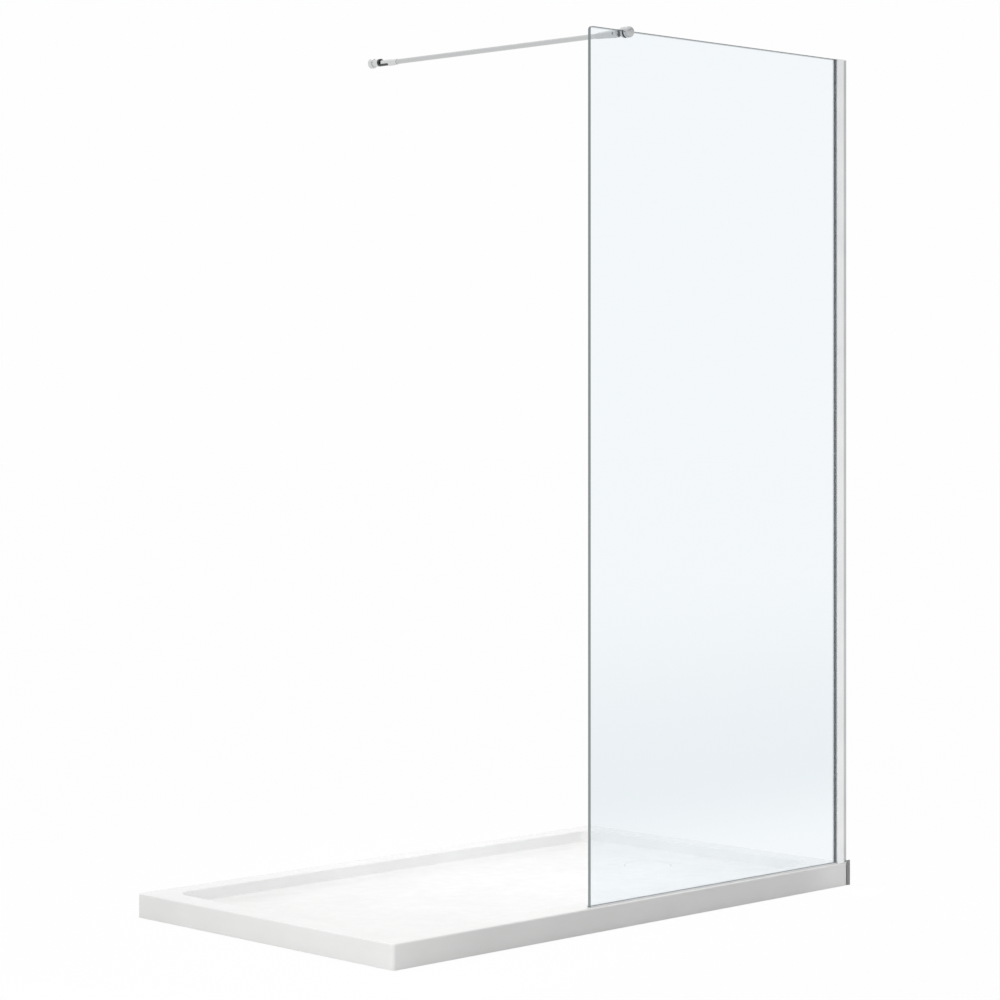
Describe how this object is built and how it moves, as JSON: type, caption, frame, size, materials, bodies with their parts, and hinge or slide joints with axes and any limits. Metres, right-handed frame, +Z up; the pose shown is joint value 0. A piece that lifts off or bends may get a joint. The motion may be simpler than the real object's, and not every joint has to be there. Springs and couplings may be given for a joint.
{
  "type": "walk-in shower screen",
  "caption": "Fixed glass walk-in shower screen on a low rectangular tray, held by a wall channel and a straight support bar to the back wall.",
  "frame": {"origin": "centre of the tray's underside, without the side seal strip", "axes": "+X along the glass towards the side wall that holds the channel, +Y square to the glass towards the back wall that holds the bar, +Z up"},
  "size_m": [1.5, 0.867, 2.0103],
  "materials": {
    "white_acrylic": "smooth white acrylic with a low sheen",
    "tray_core": "rough cast resin block",
    "bright_aluminium": "bright anodised extrusion with fine lengthwise lines",
    "clear_glass": "clear toughened glass with ground edges",
    "chrome": "polished plating",
    "dark_metal": "satin dark coating",
    "dark_seal": "matt dark seal rubber",
    "pale_liner": "pale translucent soft plastic",
    "screw_steel": "turned stainless steel",
    "setting_block": "matt hard plastic"
  },
  "bodies": {
    "base": {"tray_cap": "white_acrylic", "tray_core": "tray_core", "side_seal_strip": "dark_seal", "sill_rail": "bright_aluminium", "sill_seal": "dark_seal", "wall_channel": "bright_aluminium", "outer_trim": "bright_aluminium", "inner_trim": "bright_aluminium", "outer_gasket": "dark_seal", "inner_gasket": "dark_seal", "setting_block": "setting_block", "channel_cap": "bright_aluminium"},
    "screen": {"glass_panel": "clear_glass", "clamp_body": "chrome", "clamp_liner": "pale_liner", "clamp_grub_screw": "screw_steel", "clamp_eye": "dark_metal"},
    "bar": {"glass_end_fitting": "chrome", "clamp_pivot_screw": "screw_steel", "support_bar": "chrome", "glass_end_grub_screw": "screw_steel", "wall_end_fitting": "chrome", "wall_end_grub_screw": "screw_steel"},
    "wall_foot": {"wall_flange": "chrome", "wall_knuckle": "dark_metal", "wall_pivot_screw": "screw_steel"},
    "cover": {"waste_cover": "white_acrylic", "cover_feet": "dark_seal"}
  },
  "joints": [
    {"name": "screen_adjust", "type": "slide", "parent": "base", "child": "screen", "axis": [1, 0, 0], "range_m": [-0.008, 0.008]},
    {"name": "bar_swivel", "type": "hinge", "parent": "screen", "child": "bar", "pos_m": [-0.031, -0.386, 1.9955], "axis": [0, 0, 1], "range_deg": [-85, 85]},
    {"name": "foot_swivel", "type": "hinge", "parent": "bar", "child": "wall_foot", "pos_m": [-0.031, 0.386, 1.9955], "axis": [0, 0, 1], "range_deg": [-90, 90]},
    {"name": "cover_lift", "type": "slide", "parent": "base", "child": "cover", "axis": [0, 0, 1], "range_m": [0, 0.04]}
  ]
}
